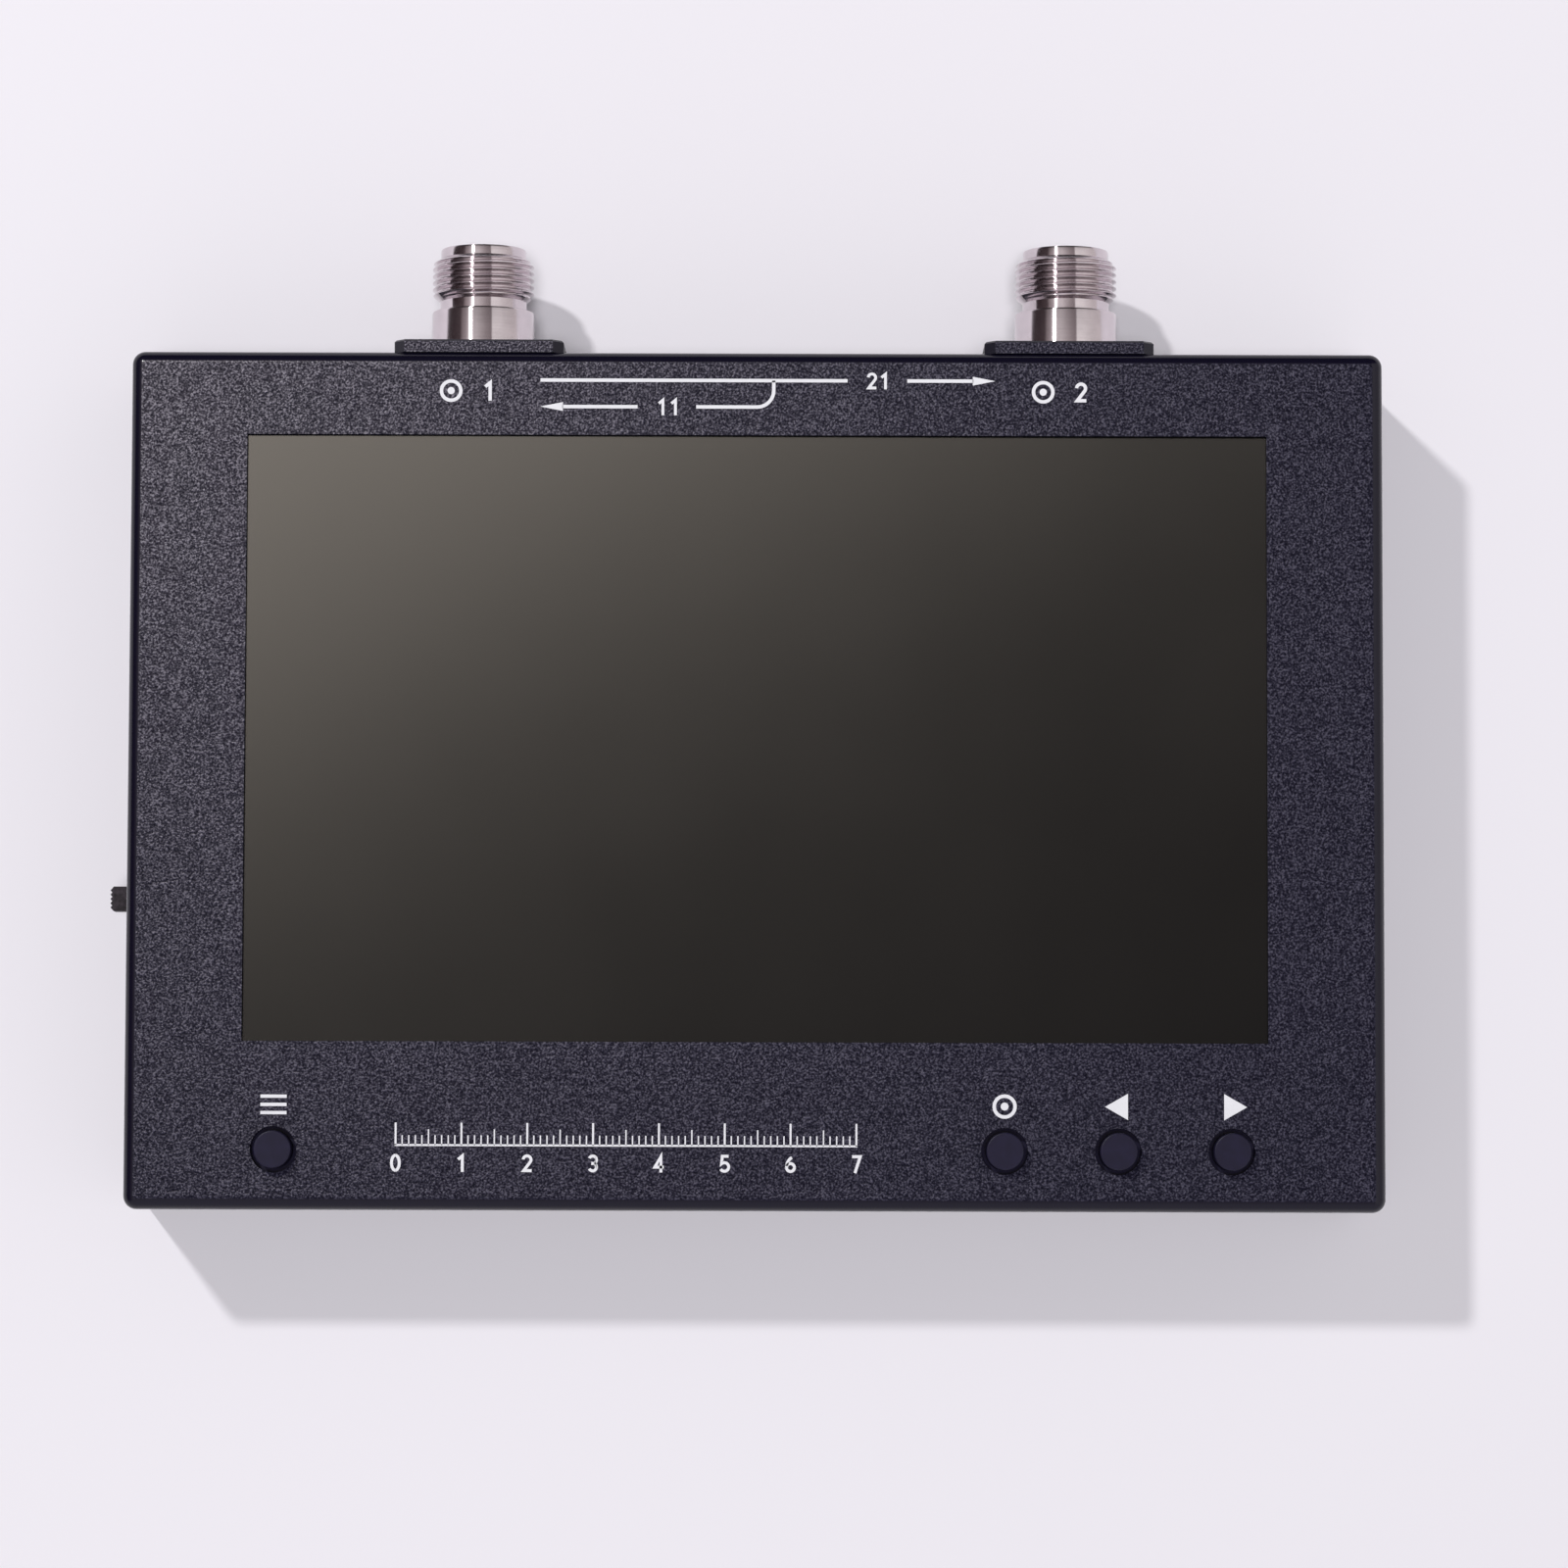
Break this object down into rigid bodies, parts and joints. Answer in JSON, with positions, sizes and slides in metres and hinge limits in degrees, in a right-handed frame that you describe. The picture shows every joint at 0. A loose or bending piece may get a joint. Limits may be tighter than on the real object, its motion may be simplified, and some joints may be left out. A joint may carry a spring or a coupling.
{
  "type": "antenna analyzer",
  "caption": "Handheld antenna analyzer in a flat metal case, with a wide touch screen, N-type ports, push keys and a slide switch for power.",
  "frame": {"origin": "centre of the back cover's flat outer face, with the analyzer lying on its back; the four feet stand 1 mm below it", "axes": "+X to the right of the screen, +Y towards the ports, +Z out of the screen"},
  "size_m": [0.1956, 0.1495, 0.0313],
  "materials": {
    "case_coat": "matte",
    "plate_coat": "matte",
    "nickel": "satin",
    "gold": "satin",
    "ptfe": "satin",
    "cover_glass": "satin",
    "display": "satin",
    "acrylic": "satin",
    "steel": "satin",
    "screw_black": "satin",
    "screw_zinc": "satin",
    "foot_rubber": "matte",
    "seal_foam": "matte",
    "circuit_board": "satin",
    "chip_plastic": "matte",
    "key_plastic": "satin",
    "plunger_plastic": "satin",
    "knob_plastic": "matte",
    "polyimide": "satin",
    "cell_wrap": "satin",
    "tape": "matte",
    "plug_plastic": "matte",
    "lead_insulation": "satin",
    "print_ink": "matte"
  },
  "bodies": {
    "case": {"front_housing": "case_coat", "back_cover": "case_coat", "cover_screws": "screw_black", "rubber_feet": "foot_rubber", "window_gasket": "seal_foam", "touch_glass": "cover_glass", "lcd_panel": "display", "light_guide": "acrylic", "backlight_tray": "steel", "screen_clamps": "steel", "clamp_screws": "screw_zinc", "main_board": "circuit_board", "board_screws": "screw_zinc", "battery_pack": "cell_wrap", "battery_tape": "tape", "battery_plug": "plug_plastic", "battery_leads": "lead_insulation", "key_board_screws": "screw_zinc", "key_board_headers": "chip_plastic", "slide_switch_body": "chip_plastic", "usb_c_shell": "steel", "usb_c_tongue": "chip_plastic", "lcd_ribbon": "polyimide", "lcd_connector": "chip_plastic", "touch_ribbon": "polyimide", "touch_connector": "chip_plastic", "processor": "chip_plastic", "memory_chip": "chip_plastic", "synthesizer_chip": "chip_plastic", "fn_key_board": "circuit_board", "nav_key_board": "circuit_board", "fn_switch": "chip_plastic", "ctrl_switch": "chip_plastic", "left_switch": "chip_plastic", "right_switch": "chip_plastic", "rf_shield_1": "steel", "port_1_plate": "plate_coat", "port_1_screws": "screw_black", "port_1_shell": "nickel", "port_1_insulator": "ptfe", "port_1_contact": "gold", "rf_shield_2": "steel", "port_2_plate": "plate_coat", "port_2_screws": "screw_black", "port_2_shell": "nickel", "port_2_insulator": "ptfe", "port_2_contact": "gold"},
    "fn_key": {"fn_cap": "key_plastic", "fn_plunger": "plunger_plastic"},
    "ctrl_key": {"ctrl_cap": "key_plastic", "ctrl_plunger": "plunger_plastic"},
    "left_key": {"left_cap": "key_plastic", "left_plunger": "plunger_plastic"},
    "right_key": {"right_cap": "key_plastic", "right_plunger": "plunger_plastic"},
    "power_knob": {"slide_switch_knob": "knob_plastic"}
  },
  "joints": [
    {"name": "fn_key_press", "type": "slide", "parent": "case", "child": "fn_key", "axis": [0, 0, -1], "range_m": [0, 0.0005], "stiffness_N_per_m": 4000},
    {"name": "ctrl_key_press", "type": "slide", "parent": "case", "child": "ctrl_key", "axis": [0, 0, -1], "range_m": [0, 0.0005], "stiffness_N_per_m": 4000},
    {"name": "left_key_press", "type": "slide", "parent": "case", "child": "left_key", "axis": [0, 0, -1], "range_m": [0, 0.0005], "stiffness_N_per_m": 4000},
    {"name": "right_key_press", "type": "slide", "parent": "case", "child": "right_key", "axis": [0, 0, -1], "range_m": [0, 0.0005], "stiffness_N_per_m": 4000},
    {"name": "power_switch_slide", "type": "slide", "parent": "case", "child": "power_knob", "axis": [0, 1, 0], "range_m": [0, 0.002]}
  ]
}
